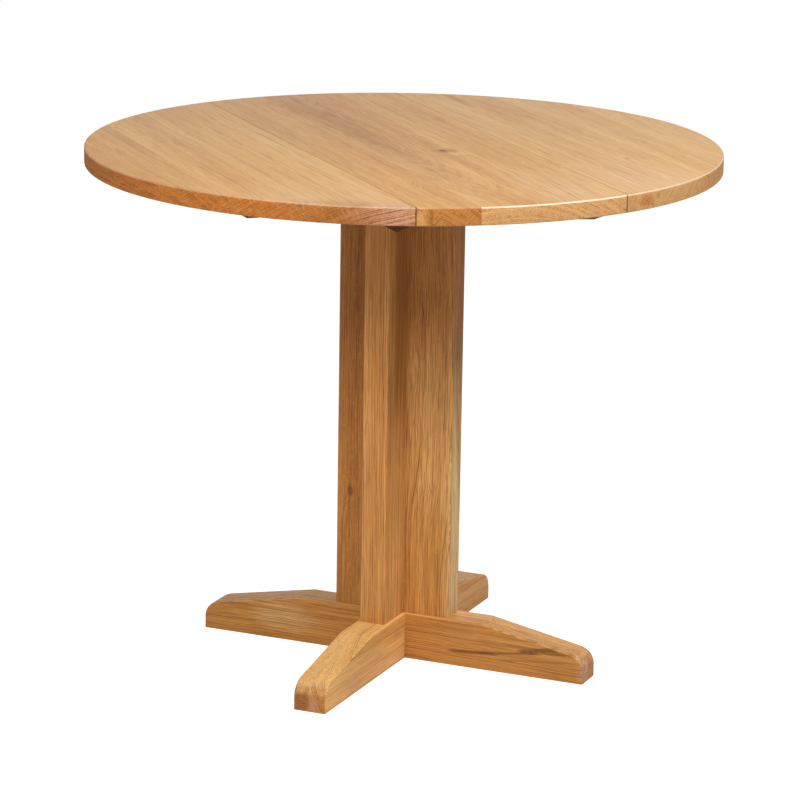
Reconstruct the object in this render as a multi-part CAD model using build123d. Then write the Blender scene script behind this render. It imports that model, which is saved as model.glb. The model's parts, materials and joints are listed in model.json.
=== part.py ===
"""Round drop-leaf pedestal table in solid oak, in millimetres.

The origin is on the floor under the middle of the top and Z points up. The boards and the two
hinge joints run along Y. The leaves are at -X (left) and +X (right), and the cross feet and the
plus-shaped column stand at 45 degrees to the hinge joints.
"""
import math
import os

from build123d import *

# Top
TABLE_HEIGHT = 750.0
TOP_DIAMETER = 900.0
TOP_THICKNESS = 25.0
RIM_ROUND_ABOVE = 3.0
RIM_ROUND_BELOW = 2.0
RIM_FLATS = 3  # short flats that ease each arris of the rim
CENTRE_WIDTH = 300.0
LEAF_GAP = 0.6
CENTRE_GLUE_LINE = -67.0
LEFT_GLUE_LINE = -355.0
RIGHT_GLUE_LINE = 306.0

# Feet
FOOT_LENGTH = 600.0
FOOT_WIDTH = 48.0
FOOT_HEIGHT = 68.0
FOOT_FLAT = 284.0
FOOT_TOE_HEIGHT = 38.5
FOOT_NOSE = 25.0
ARRIS = 2.0

# Column and the plate on its top
COLUMN_SPAN = 178.0
COLUMN_BOARD = 38.0
PLATE_THICKNESS = 25.0
PLATE_LENGTH = 220.0
PLATE_SIDE_GAP = 2.0
PLATE_BEVEL = 6.0

# Rails under the centre panel
RAIL_WIDTH = 43.0
RAIL_DEPTH = 25.0
RAIL_INSET = 7.0
RAIL_LENGTH = 778.0
RAIL_NOSE = 7.0
RAIL_BEVEL = 52.0
RAIL_SKEW = 14.0
RAIL_CLEARANCE = 0.5
RAIL_WASTE = 20.0  # how far the cutting shape of a rail end reaches past the rail

# Sliding leaf supports (lopers) and their stop pegs
LOPER_WIDTH = 40.0
LOPER_THICKNESS = 16.0
LOPER_TIP_INSET = 2.0
LOPER_HEEL_INSET = 10.0
LOPER_NEAR_Y = 211.0
LOPER_SPACE = 3.0
LOPER_CLEARANCE = 0.3
FINGER_GROOVE_RADIUS = 9.0
FINGER_GROOVE_DEPTH = 5.0
FINGER_GROOVE_INSET = 18.0
PEG_DIAMETER = 10.0
PEG_SEAT = 10.0
PEG_DROP = 9.0
PEG_PLAY = 0.5

# Leaf cleats
CLEAT_WIDTH = 38.0
CLEAT_DEPTH = 30.0
CLEAT_START = 45.0
CLEAT_LENGTH = 102.0
CLEAT_Y = 156.0
CLEAT_BEVEL = 4.0

# Back-flap hinges
HINGE_Y = 320.0
HINGE_LENGTH = 60.0
FLAP_WIDTH = 32.0
FLAP_THICKNESS = 2.0
BARREL_RADIUS = 4.0
BARREL_DROP = 0.5
PIN_RADIUS = 2.0
PIN_CLEARANCE = 0.05
KNUCKLES = 5
KNUCKLE_GAP = 0.3
BARREL_CLEARANCE = 0.6
HOUSING_CLEARANCE = 1.0
HOUSING_EXTRA_DEPTH = 0.4

# Fasteners
BOLT_DIAMETER = 8.0
BOLT_HEAD_DIAMETER = 13.0
BOLT_HEAD_HEIGHT = 5.5
BOLT_OFFSET = 62.0
BOLT_GRIP = 22.0
BOLT_HOLE_CLEARANCE = 0.5
WASHER_DIAMETER = 20.0
WASHER_THICKNESS = 1.6
FOOT_COUNTERBORE_DEPTH = 14.0
PLATE_COUNTERBORE_DEPTH = 9.0
COUNTERBORE_CLEARANCE = 1.0
INSERT_DIAMETER = 12.0
INSERT_LENGTH = 25.0
FIT_CLEARANCE = 0.05
SCREW_DIAMETER = 4.5
SCREW_HEAD_DIAMETER = 9.0
SCREW_BITE = 15.0
HINGE_SCREW_DIAMETER = 3.5
HINGE_SCREW_HEAD_DIAMETER = 6.6
HINGE_SCREW_LENGTH = 16.0

# Places that follow from the sizes above
UNDERSIDE = TABLE_HEIGHT - TOP_THICKNESS
HINGE_X = CENTRE_WIDTH / 2
HINGE_Z = UNDERSIDE - BARREL_RADIUS - BARREL_DROP
RAIL_OUTER_X = HINGE_X - RAIL_INSET
RAIL_INNER_X = RAIL_OUTER_X - RAIL_WIDTH
PLATE_BOTTOM = UNDERSIDE - PLATE_THICKNESS
COLUMN_HEIGHT = PLATE_BOTTOM - FOOT_HEIGHT
LOPER_LENGTH = CENTRE_WIDTH - LOPER_TIP_INSET - LOPER_HEEL_INSET
LOPER_TOP = UNDERSIDE - LOPER_CLEARANCE
LOPER_BOTTOM = LOPER_TOP - LOPER_THICKNESS
LOPER_FAR_Y = LOPER_NEAR_Y + LOPER_WIDTH + LOPER_SPACE
PEG_X = RAIL_INNER_X - PEG_PLAY - PEG_DIAMETER / 2
LOPER_TRAVEL = 2 * PEG_X
PLATE_SCREW_LENGTH = PLATE_THICKNESS + SCREW_BITE
RAIL_SCREW_LENGTH = RAIL_DEPTH + SCREW_BITE
CLEAT_SCREW_LENGTH = CLEAT_DEPTH + SCREW_BITE
HINGE_YS = (-HINGE_Y, 0.0, HINGE_Y)
CORNERS = (0, 90, 180, 270)


def rim_profile():
    """Half the section of the round top, its two arrises eased in short flats."""
    radius = TOP_DIAMETER / 2
    turns = [math.radians(90 * step / RIM_FLATS) for step in range(RIM_FLATS + 1)]
    points = [(0, UNDERSIDE)]
    for turn in turns:
        across = radius - RIM_ROUND_BELOW * (1 - math.sin(turn))
        points.append((across, UNDERSIDE + RIM_ROUND_BELOW * (1 - math.cos(turn))))
    for turn in turns:
        across = radius - RIM_ROUND_ABOVE * (1 - math.cos(turn))
        points.append((across, TABLE_HEIGHT - RIM_ROUND_ABOVE * (1 - math.sin(turn))))
    points.append((0, TABLE_HEIGHT))
    return make_face(Polyline(*points, close=True))


def board(x_low, x_high):
    """The part of the round top between two planes across X."""
    keep = Pos((x_low + x_high) / 2, 0, TABLE_HEIGHT) * Box(
        x_high - x_low, 2 * TOP_DIAMETER, 4 * TOP_THICKNESS
    )
    return revolve(Plane.XZ * rim_profile(), Axis.Z) & keep


def screw_shape(length, diameter, head_diameter):
    """A countersunk screw pointing up, its head flush with Z = 0."""
    head = head_diameter / 2
    shank = diameter / 2
    profile = Polyline(
        (0, 0),
        (head, 0),
        (shank, head - shank),
        (shank, length),
        (0, length),
        close=True,
    )
    return revolve(Plane.XZ * make_face(profile), Axis.Z)


def screw_hole(length, diameter, head_diameter):
    """The hole for the same screw: a countersink that fits its head and a bore that clears it."""
    head = head_diameter / 2
    bore = diameter / 2 + FIT_CLEARANCE
    end = length + FIT_CLEARANCE
    profile = Polyline((0, 0), (head, 0), (bore, head - bore), (bore, end), (0, end), close=True)
    return revolve(Plane.XZ * make_face(profile), Axis.Z)


def wood_screw(length):
    return screw_shape(length, SCREW_DIAMETER, SCREW_HEAD_DIAMETER)


def wood_screw_hole(length):
    return screw_hole(length, SCREW_DIAMETER, SCREW_HEAD_DIAMETER)


def hinge_screw():
    return screw_shape(HINGE_SCREW_LENGTH, HINGE_SCREW_DIAMETER, HINGE_SCREW_HEAD_DIAMETER)


def hinge_screw_hole():
    return screw_hole(HINGE_SCREW_LENGTH, HINGE_SCREW_DIAMETER, HINGE_SCREW_HEAD_DIAMETER)


def upright(radius, low, high):
    """A cylinder on the Z axis between two heights."""
    return Pos(0, 0, (low + high) / 2) * Cylinder(radius, high - low)


def at_corners(shape, offset):
    """Four copies, one over each arm of the cross, in the feet's own axes."""
    return [Rot(0, 0, turn) * Pos(offset, 0, 0) * shape for turn in CORNERS]


def foot_beam():
    """One foot from nose to nose along X, before it is laminated, lapped or drilled."""
    half = FOOT_LENGTH / 2
    flat = FOOT_FLAT / 2
    outline = make_face(
        Polyline(
            (-half, 0),
            (half, 0),
            (half, FOOT_TOE_HEIGHT),
            (flat, FOOT_HEIGHT),
            (-flat, FOOT_HEIGHT),
            (-half, FOOT_TOE_HEIGHT),
            close=True,
        )
    )
    toes = [v for v in outline.vertices() if abs(v.Y - FOOT_TOE_HEIGHT) < 0.01]
    outline = fillet(toes, FOOT_NOSE)
    beam = extrude(Plane.XZ * outline, FOOT_WIDTH / 2, both=True)
    sides = [
        e
        for e in beam.edges()
        if abs(abs(e.center().Y) - FOOT_WIDTH / 2) < 0.01 and e.center().Z > ARRIS
    ]
    return fillet(sides, ARRIS)


def foot_bolt_holes():
    """Counterbored holes for the four bolts that come up into the column."""
    hole = upright(BOLT_DIAMETER / 2 + BOLT_HOLE_CLEARANCE, 0, FOOT_HEIGHT)
    bore = upright(WASHER_DIAMETER / 2 + COUNTERBORE_CLEARANCE, 0, FOOT_COUNTERBORE_DEPTH)
    return at_corners(hole + bore, BOLT_OFFSET)


def foot_plies(turn, notch_above):
    """The two glued plies of one foot, half-lapped over the other foot."""
    low = FOOT_HEIGHT / 2 if notch_above else 0
    notch = Pos(0, 0, low + FOOT_HEIGHT / 4) * Box(FOOT_WIDTH, FOOT_WIDTH, FOOT_HEIGHT / 2)
    beam = foot_beam() - notch
    for hole in foot_bolt_holes():
        beam = beam - hole
    plies = []
    for side in (-1, 1):
        keep = Pos(0, side * FOOT_WIDTH / 4, FOOT_HEIGHT / 2) * Box(
            2 * FOOT_LENGTH, FOOT_WIDTH / 2, 2 * FOOT_HEIGHT
        )
        plies.append(Rot(0, 0, turn) * (beam & keep))
    return plies


def insert_sockets():
    """Blind holes for the threaded inserts in both ends of the column."""
    radius = INSERT_DIAMETER / 2 + FIT_CLEARANCE
    low = upright(radius, FOOT_HEIGHT, FOOT_HEIGHT + INSERT_LENGTH)
    high = upright(radius, PLATE_BOTTOM - INSERT_LENGTH, PLATE_BOTTOM)
    return at_corners(low, BOLT_OFFSET) + at_corners(high, BOLT_OFFSET)


def rail_spaces():
    """The room that the rails need at the head of the column, if the centre panel is narrow."""
    low = UNDERSIDE - RAIL_DEPTH - RAIL_CLEARANCE
    inner = RAIL_INNER_X - RAIL_CLEARANCE
    space = Box(RAIL_WIDTH + RAIL_CLEARANCE, RAIL_LENGTH, UNDERSIDE - low)
    x = inner + (RAIL_WIDTH + RAIL_CLEARANCE) / 2
    z = (low + UNDERSIDE) / 2
    return [Pos(side * x, 0, z) * space for side in (-1, 1)]


def column_boards():
    """A through board along the left and right feet, and a half board glued to each of its faces."""
    middle = FOOT_HEIGHT + COLUMN_HEIGHT / 2
    through = Box(COLUMN_SPAN, COLUMN_BOARD, COLUMN_HEIGHT)
    through = fillet(through.edges().filter_by(Axis.Z), ARRIS)
    half_width = (COLUMN_SPAN - COLUMN_BOARD) / 2
    half = Box(half_width, COLUMN_BOARD, COLUMN_HEIGHT)
    outer = half.edges().filter_by(Axis.Z).sort_by(Axis.X)[-2:]
    half = fillet(outer, ARRIS)
    place = Pos((COLUMN_BOARD + half_width) / 2, 0, middle)
    boards = [
        Pos(0, 0, middle) * through,
        Rot(0, 0, 90) * place * half,
        Rot(0, 0, -90) * place * half,
    ]
    cuts = insert_sockets()
    drilled = []
    for board in boards:
        for socket in cuts:
            board = board - socket
        drilled.append(Rot(0, 0, -45) * board - rail_spaces())
    return drilled


def plate_screw_places():
    x = RAIL_INNER_X - PLATE_SIDE_GAP - SCREW_HEAD_DIAMETER - PLATE_BEVEL
    y = PLATE_LENGTH / 2 - SCREW_HEAD_DIAMETER - PLATE_BEVEL
    return [(i * x, j * y) for i in (-1, 0, 1) for j in (-1, 0, 1) if i or j]


def top_plate():
    """The plate between the rails that joins the column to the centre panel."""
    width = 2 * (RAIL_INNER_X - PLATE_SIDE_GAP)
    plate = Pos(0, 0, PLATE_BOTTOM + PLATE_THICKNESS / 2) * Box(
        width, PLATE_LENGTH, PLATE_THICKNESS
    )
    below = plate.faces().sort_by(Axis.Z)[0]
    plate = chamfer(below.edges(), PLATE_BEVEL)
    hole = upright(BOLT_DIAMETER / 2 + BOLT_HOLE_CLEARANCE, PLATE_BOTTOM, UNDERSIDE)
    bore = upright(
        WASHER_DIAMETER / 2 + COUNTERBORE_CLEARANCE,
        UNDERSIDE - PLATE_COUNTERBORE_DEPTH,
        UNDERSIDE,
    )
    for cut in at_corners(hole + bore, BOLT_OFFSET):
        plate = plate - Rot(0, 0, -45) * cut
    for x, y in plate_screw_places():
        plate = plate - Pos(x, y, PLATE_BOTTOM) * wood_screw_hole(PLATE_SCREW_LENGTH)
    return plate


def rail_screw_places():
    """Six screws in the inner part of a rail, clear of the hinge flaps and the support notches."""
    x = (RAIL_INNER_X + HINGE_X - FLAP_WIDTH - HOUSING_CLEARANCE) / 2
    inner = LOPER_NEAR_Y - LOPER_WIDTH / 2
    outer = LOPER_FAR_Y + LOPER_WIDTH / 2
    bevel = (RAIL_LENGTH / 2 - RAIL_BEVEL - RAIL_SKEW + outer) / 2
    return [(x, side * y) for side in (-1, 1) for y in (inner / 4, inner * 3 / 4, bevel)]


def rail_end_waste():
    """What is sawn off the +Y end of the right rail: a bevel that runs further back on its inner side."""
    tip = RAIL_LENGTH / 2
    high = UNDERSIDE + RAIL_WASTE
    low = UNDERSIDE - RAIL_DEPTH - RAIL_WASTE
    slope = RAIL_BEVEL / (RAIL_DEPTH - RAIL_NOSE)
    foot = tip - RAIL_BEVEL - slope * RAIL_WASTE
    section = make_face(
        Polyline(
            (tip, high),
            (tip, UNDERSIDE - RAIL_NOSE),
            (foot, low),
            (tip + RAIL_WASTE, low),
            (tip + RAIL_WASTE, high),
            close=True,
        )
    )
    skew = RAIL_SKEW / RAIL_WIDTH
    start = Pos(RAIL_OUTER_X + RAIL_WASTE, skew * RAIL_WASTE, 0) * (Plane.YZ * section)
    return extrude(start, RAIL_WIDTH + 2 * RAIL_WASTE, dir=Vector(-1, -skew, 0))


def right_rail():
    """The rail on the +X side: skewed bevelled ends, four support notches and three hinge housings."""
    bottom = UNDERSIDE - RAIL_DEPTH
    rail = Pos((RAIL_INNER_X + RAIL_OUTER_X) / 2, 0, (UNDERSIDE + bottom) / 2) * Box(
        RAIL_WIDTH, RAIL_LENGTH, RAIL_DEPTH
    )
    waste = rail_end_waste()
    rail = rail - waste - mirror(waste, about=Plane.XZ)
    notch_depth = UNDERSIDE - LOPER_BOTTOM
    for side in (-1, 1):
        for y in (LOPER_NEAR_Y, LOPER_FAR_Y):
            rail = rail - Pos(RAIL_INNER_X, side * y, UNDERSIDE - notch_depth / 2) * Box(
                4 * RAIL_WIDTH, LOPER_WIDTH + 2 * LOPER_CLEARANCE, notch_depth
            )
    housing_depth = FLAP_THICKNESS + HOUSING_EXTRA_DEPTH
    housing_width = FLAP_WIDTH + HOUSING_CLEARANCE
    for y in HINGE_YS:
        rail = rail - Pos(HINGE_X - housing_width / 2, y, UNDERSIDE - housing_depth / 2) * Box(
            housing_width, HINGE_LENGTH + 2 * HOUSING_CLEARANCE, housing_depth
        )
    for x, y in rail_screw_places():
        rail = rail - Pos(x, y, bottom) * wood_screw_hole(RAIL_SCREW_LENGTH)
    return rail


def left_loper():
    """A left support pushed in, at Y = 0, with its finger groove and the socket for its stop peg."""
    tip = -HINGE_X + LOPER_TIP_INSET
    middle = (LOPER_TOP + LOPER_BOTTOM) / 2
    bar = Pos(tip + LOPER_LENGTH / 2, 0, middle) * Box(
        LOPER_LENGTH, LOPER_WIDTH, LOPER_THICKNESS
    )
    groove = Rot(90, 0, 0) * Cylinder(FINGER_GROOVE_RADIUS, 2 * LOPER_WIDTH)
    groove_z = LOPER_BOTTOM + FINGER_GROOVE_DEPTH - FINGER_GROOVE_RADIUS
    bar = bar - Pos(tip + FINGER_GROOVE_INSET, 0, groove_z) * groove
    socket = upright(PEG_DIAMETER / 2 + FIT_CLEARANCE, LOPER_BOTTOM, LOPER_BOTTOM + PEG_SEAT)
    return bar - Pos(PEG_X, 0, 0) * socket


def left_peg():
    """The stop peg of a left support: it meets one rail pushed in and the other pulled out."""
    return Pos(PEG_X, 0, 0) * upright(
        PEG_DIAMETER / 2, LOPER_BOTTOM - PEG_DROP, LOPER_BOTTOM + PEG_SEAT
    )


def cleat_places():
    """Middles of the two cleats under the right leaf."""
    x = HINGE_X + CLEAT_START + CLEAT_LENGTH / 2
    return [(x, -CLEAT_Y), (x, CLEAT_Y)]


def cleat_screw_places():
    quarter = CLEAT_LENGTH / 4
    return [(x + step, y) for x, y in cleat_places() for step in (-quarter, quarter)]


def right_cleats():
    """Two cleats across the right leaf, with bevelled lower ends."""
    cleats = []
    for x, y in cleat_places():
        cleat = Pos(x, y, UNDERSIDE - CLEAT_DEPTH / 2) * Box(
            CLEAT_LENGTH, CLEAT_WIDTH, CLEAT_DEPTH
        )
        below = cleat.faces().sort_by(Axis.Z)[0]
        cleat = chamfer(below.edges(), CLEAT_BEVEL)
        hole = wood_screw_hole(CLEAT_SCREW_LENGTH)
        for sx, sy in cleat_screw_places():
            if sy == y:
                cleat = cleat - Pos(sx, sy, UNDERSIDE - CLEAT_DEPTH) * hole
        cleats.append(cleat)
    return cleats


def hinge_screw_places(side):
    """Three screws in each flap of the right hinges, on the given side of the pin."""
    near = BARREL_RADIUS + BARREL_CLEARANCE + HINGE_SCREW_HEAD_DIAMETER
    far = FLAP_WIDTH - HINGE_SCREW_HEAD_DIAMETER
    step = HINGE_LENGTH / 3
    spots = [(near, -step), (far, 0.0), (near, step)]
    return [(HINGE_X + side * x, y + hinge) for hinge in HINGE_YS for x, y in spots]


def knuckle(index, side):
    """One knuckle of a hinge on the right joint: a barrel slice and the web up to its flap."""
    pitch = HINGE_LENGTH / KNUCKLES
    length = pitch - KNUCKLE_GAP
    y = (index + 0.5) * pitch - HINGE_LENGTH / 2
    barrel = Rot(90, 0, 0) * Cylinder(BARREL_RADIUS, length)
    reach = BARREL_RADIUS + BARREL_CLEARANCE
    web_z = UNDERSIDE - FLAP_THICKNESS / 2 - HINGE_Z
    web = Pos(side * reach / 2, 0, web_z) * Box(reach, length, FLAP_THICKNESS)
    return Pos(HINGE_X, y, HINGE_Z) * (barrel + web)


def flap(side):
    """One flap of a right-hand hinge at Y = 0: side -1 is screwed to the centre, +1 to the leaf."""
    near = BARREL_RADIUS + BARREL_CLEARANCE
    width = FLAP_WIDTH - near
    plate = Pos(HINGE_X + side * (near + width / 2), 0, UNDERSIDE - FLAP_THICKNESS / 2) * Box(
        width, HINGE_LENGTH, FLAP_THICKNESS
    )
    first = 0 if side < 0 else 1
    for index in range(first, KNUCKLES, 2):
        plate = plate + knuckle(index, side)
    bore = Rot(90, 0, 0) * Cylinder(PIN_RADIUS + PIN_CLEARANCE, 2 * HINGE_LENGTH)
    return plate - Pos(HINGE_X, 0, HINGE_Z) * bore


def right_flaps(side):
    """The three flaps on one side of the right joint, with their screw holes."""
    flaps = []
    for y in HINGE_YS:
        one = Pos(0, y, 0) * flap(side)
        for sx, sy in hinge_screw_places(side):
            if abs(sy - y) < HINGE_LENGTH / 2:
                one = one - Pos(sx, sy, UNDERSIDE - FLAP_THICKNESS) * hinge_screw_hole()
        flaps.append(one)
    return flaps


def right_pins():
    pin = Rot(90, 0, 0) * Cylinder(PIN_RADIUS, HINGE_LENGTH)
    return [Pos(HINGE_X, y, HINGE_Z) * pin for y in HINGE_YS]


def placed(shape, places, z):
    return [Pos(x, y, z) * shape for x, y in places]


def half_turn(shapes):
    """The same pieces on the other side of the table."""
    return [Rot(0, 0, 180) * s for s in shapes]


def screws_in_centre():
    """Every screw whose tip is in the centre panel, by node name."""
    hinge_z = UNDERSIDE - FLAP_THICKNESS
    hinge = placed(hinge_screw(), hinge_screw_places(-1), hinge_z)
    rail = placed(wood_screw(RAIL_SCREW_LENGTH), rail_screw_places(), UNDERSIDE - RAIL_DEPTH)
    plate = placed(wood_screw(PLATE_SCREW_LENGTH), plate_screw_places(), PLATE_BOTTOM)
    return {
        "centre_hinge_screws": hinge + half_turn(hinge),
        "rail_screws": rail + half_turn(rail),
        "plate_screws": plate,
    }


def screws_in_right_leaf():
    hinge_z = UNDERSIDE - FLAP_THICKNESS
    cleat_z = UNDERSIDE - CLEAT_DEPTH
    cleat = placed(wood_screw(CLEAT_SCREW_LENGTH), cleat_screw_places(), cleat_z)
    return {
        "right_leaf_hinge_screws": placed(hinge_screw(), hinge_screw_places(1), hinge_z),
        "right_cleat_screws": cleat,
    }


def screw_holes_in_centre():
    """The same screws with clearance, to drill the centre panel."""
    hinge_z = UNDERSIDE - FLAP_THICKNESS
    hinge = placed(hinge_screw_hole(), hinge_screw_places(-1), hinge_z)
    rail = placed(wood_screw_hole(RAIL_SCREW_LENGTH), rail_screw_places(), UNDERSIDE - RAIL_DEPTH)
    plate = placed(wood_screw_hole(PLATE_SCREW_LENGTH), plate_screw_places(), PLATE_BOTTOM)
    return hinge + half_turn(hinge) + rail + half_turn(rail) + plate


def screw_holes_in_right_leaf():
    hinge_z = UNDERSIDE - FLAP_THICKNESS
    cleat_z = UNDERSIDE - CLEAT_DEPTH
    hinge = placed(hinge_screw_hole(), hinge_screw_places(1), hinge_z)
    cleat = placed(wood_screw_hole(CLEAT_SCREW_LENGTH), cleat_screw_places(), cleat_z)
    return hinge + cleat


def drilled(blank, holes):
    """A board with the holes that reach it."""
    box = blank.bounding_box()
    for hole in holes:
        reach = hole.bounding_box()
        if reach.max.X > box.min.X and reach.min.X < box.max.X:
            blank = blank - hole
    return blank


def top_boards():
    """The six glued boards of the centre panel and the leaves, by node name."""
    edge = TOP_DIAMETER
    inner = HINGE_X - LEAF_GAP / 2
    outer = HINGE_X + LEAF_GAP / 2
    centre_holes = screw_holes_in_centre()
    right_holes = screw_holes_in_right_leaf()
    left_holes = half_turn(right_holes)
    cuts = {
        "left_leaf_outer_board": (-edge, LEFT_GLUE_LINE, left_holes),
        "left_leaf_inner_board": (LEFT_GLUE_LINE, -outer, left_holes),
        "centre_left_board": (-inner, CENTRE_GLUE_LINE, centre_holes),
        "centre_right_board": (CENTRE_GLUE_LINE, inner, centre_holes),
        "right_leaf_inner_board": (outer, RIGHT_GLUE_LINE, right_holes),
        "right_leaf_outer_board": (RIGHT_GLUE_LINE, edge, right_holes),
    }
    return {
        name: drilled(board(low, high), holes) for name, (low, high, holes) in cuts.items()
    }


def bolt(length):
    """A hexagon bolt pointing up, the underside of its head at Z = 0."""
    head = extrude(RegularPolygon(BOLT_HEAD_DIAMETER / 2, 6, major_radius=False), -BOLT_HEAD_HEIGHT)
    return head + upright(BOLT_DIAMETER / 2, 0, length)


def washer():
    ring = upright(WASHER_DIAMETER / 2, 0, WASHER_THICKNESS)
    return ring - upright(BOLT_DIAMETER / 2 + BOLT_HOLE_CLEARANCE, -1, WASHER_THICKNESS + 1)


def insert():
    sleeve = upright(INSERT_DIAMETER / 2, 0, INSERT_LENGTH)
    return sleeve - upright(BOLT_DIAMETER / 2 + FIT_CLEARANCE, -1, INSERT_LENGTH + 1)


def knock_down_fittings():
    """Bolts, washers and inserts at the foot and at the top of the column."""
    foot_seat = FOOT_COUNTERBORE_DEPTH - WASHER_THICKNESS
    foot_bolt = bolt(FOOT_HEIGHT - foot_seat + BOLT_GRIP)
    plate_seat = UNDERSIDE - PLATE_COUNTERBORE_DEPTH + WASHER_THICKNESS
    plate_bolt = Rot(180, 0, 0) * bolt(plate_seat - PLATE_BOTTOM + BOLT_GRIP)
    plate_washer_z = plate_seat - WASHER_THICKNESS
    turn = Rot(0, 0, -45)
    groups = {
        "foot_bolts": Pos(0, 0, foot_seat) * foot_bolt,
        "foot_washers": Pos(0, 0, foot_seat) * washer(),
        "foot_inserts": Pos(0, 0, FOOT_HEIGHT) * insert(),
        "plate_bolts": Pos(0, 0, plate_seat) * plate_bolt,
        "plate_washers": Pos(0, 0, plate_washer_z) * washer(),
        "plate_inserts": Pos(0, 0, PLATE_BOTTOM - INSERT_LENGTH) * insert(),
    }
    return {
        name: [turn * piece for piece in at_corners(shape, BOLT_OFFSET)]
        for name, shape in groups.items()
    }


def supports():
    """The four sliding supports and their pegs: each leaf has one at the front and one at the back."""
    places = {
        "left_front": (-LOPER_NEAR_Y, False),
        "left_back": (LOPER_FAR_Y, False),
        "right_front": (LOPER_FAR_Y, True),
        "right_back": (-LOPER_NEAR_Y, True),
    }
    nodes = {}
    for name, (y, turned) in places.items():
        for kind, shape in (("loper", left_loper()), ("stop_peg", left_peg())):
            piece = Pos(0, y, 0) * shape
            nodes[f"{name}_{kind}"] = Rot(0, 0, 180) * piece if turned else piece
    return nodes


def assembly():
    """Every node of the table, by name."""
    nodes = dict(top_boards())
    left_right = foot_plies(-45, notch_above=False)
    front_back = foot_plies(45, notch_above=True)
    nodes["side_foot_front_ply"], nodes["side_foot_back_ply"] = left_right
    nodes["front_foot_right_ply"], nodes["front_foot_left_ply"] = front_back
    through, back_half, front_half = column_boards()
    nodes["column_through_board"] = through
    nodes["column_back_board"] = back_half
    nodes["column_front_board"] = front_half
    nodes["top_plate"] = top_plate()
    rail = right_rail()
    nodes["right_rail"] = rail
    nodes["left_rail"] = half_turn([rail])[0]
    cleats = right_cleats()
    nodes["right_front_cleat"], nodes["right_back_cleat"] = cleats
    nodes["left_back_cleat"], nodes["left_front_cleat"] = half_turn(cleats)
    nodes.update(supports())
    fixed, moving, pins = right_flaps(-1), right_flaps(1), right_pins()
    nodes["right_hinge_fixed_flaps"] = fixed
    nodes["right_hinge_leaf_flaps"] = moving
    nodes["right_hinge_pins"] = pins
    nodes["left_hinge_fixed_flaps"] = half_turn(fixed)
    nodes["left_hinge_leaf_flaps"] = half_turn(moving)
    nodes["left_hinge_pins"] = half_turn(pins)
    nodes.update(screws_in_centre())
    right_screws = screws_in_right_leaf()
    nodes.update(right_screws)
    for name, screws in right_screws.items():
        nodes[name.replace("right", "left")] = half_turn(screws)
    nodes.update(knock_down_fittings())
    return nodes


os.makedirs("parts", exist_ok=True)
for node, piece in assembly().items():
    shape = Compound(children=piece) if isinstance(piece, list) else piece
    export_step(shape, f"parts/{node}.step")
print(f"support travel {LOPER_TRAVEL:.1f} mm, hinge axis at X {HINGE_X:.1f}, Z {HINGE_Z:.1f}")
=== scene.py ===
"""A round oak drop-leaf table on a crossed pedestal, in satin lacquer, on a white studio floor."""

import json
import math

import bpy
from mathutils import Euler, Matrix, Vector

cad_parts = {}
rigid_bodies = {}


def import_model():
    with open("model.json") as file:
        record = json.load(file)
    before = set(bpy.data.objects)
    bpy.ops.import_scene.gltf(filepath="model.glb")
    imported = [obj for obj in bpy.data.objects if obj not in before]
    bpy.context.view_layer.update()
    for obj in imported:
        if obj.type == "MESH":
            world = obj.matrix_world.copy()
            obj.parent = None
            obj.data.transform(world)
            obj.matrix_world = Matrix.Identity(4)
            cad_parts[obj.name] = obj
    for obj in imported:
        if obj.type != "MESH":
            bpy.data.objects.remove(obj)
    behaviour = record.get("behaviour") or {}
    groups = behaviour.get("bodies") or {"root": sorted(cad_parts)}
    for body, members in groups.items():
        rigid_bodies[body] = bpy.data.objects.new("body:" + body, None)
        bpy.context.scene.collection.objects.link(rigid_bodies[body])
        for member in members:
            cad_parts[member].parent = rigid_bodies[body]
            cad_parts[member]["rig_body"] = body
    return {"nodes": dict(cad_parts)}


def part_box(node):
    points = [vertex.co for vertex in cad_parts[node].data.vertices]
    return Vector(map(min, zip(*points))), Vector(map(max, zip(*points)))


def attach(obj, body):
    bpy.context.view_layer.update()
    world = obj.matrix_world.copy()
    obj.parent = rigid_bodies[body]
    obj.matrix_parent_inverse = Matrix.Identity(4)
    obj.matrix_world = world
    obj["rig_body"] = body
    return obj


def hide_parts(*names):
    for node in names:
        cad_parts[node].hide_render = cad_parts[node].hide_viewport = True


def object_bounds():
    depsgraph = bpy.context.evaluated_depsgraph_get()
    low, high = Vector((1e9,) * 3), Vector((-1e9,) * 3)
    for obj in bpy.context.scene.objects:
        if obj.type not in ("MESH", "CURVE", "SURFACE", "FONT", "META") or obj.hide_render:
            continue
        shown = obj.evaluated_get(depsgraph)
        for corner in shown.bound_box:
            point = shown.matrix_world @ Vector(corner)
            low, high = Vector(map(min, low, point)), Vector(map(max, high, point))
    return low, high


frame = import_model()
cad_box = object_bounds()

# Camera, as fitted to the photograph
AIM = Vector((0.0, 0.0, 0.37857))
DISTANCE = 5.12458
AZIMUTH = math.radians(-21.624)
ELEVATION = math.radians(14.358)
ROLL = math.radians(0.929)
LENS = 160.5
SENSOR = 36.0
FAR = 100.0

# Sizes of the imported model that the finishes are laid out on, in metres
TOP = 0.750
SEAM = 0.150

# Sockets of the mix node: its amount, its two colours and its result
AMOUNT, FIRST, SECOND, RESULT = 0, 6, 7, 2
HALF_GREY = (0.5, 0.5, 0.5)  # mean of a noise's colours


def srgb(red, green, blue):
    """A colour written as it looks on screen, as the linear colour the shader takes."""
    channels = []
    for value in (red, green, blue):
        share = value / 255
        channels.append(share / 12.92 if share <= 0.04045 else ((share + 0.055) / 1.055) ** 2.4)
    return (*channels, 1.0)


def put(tree, socket, value):
    """Links a socket to another, or sets its value."""
    if isinstance(value, bpy.types.NodeSocket):
        tree.links.new(value, socket)
    else:
        socket.default_value = value


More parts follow.
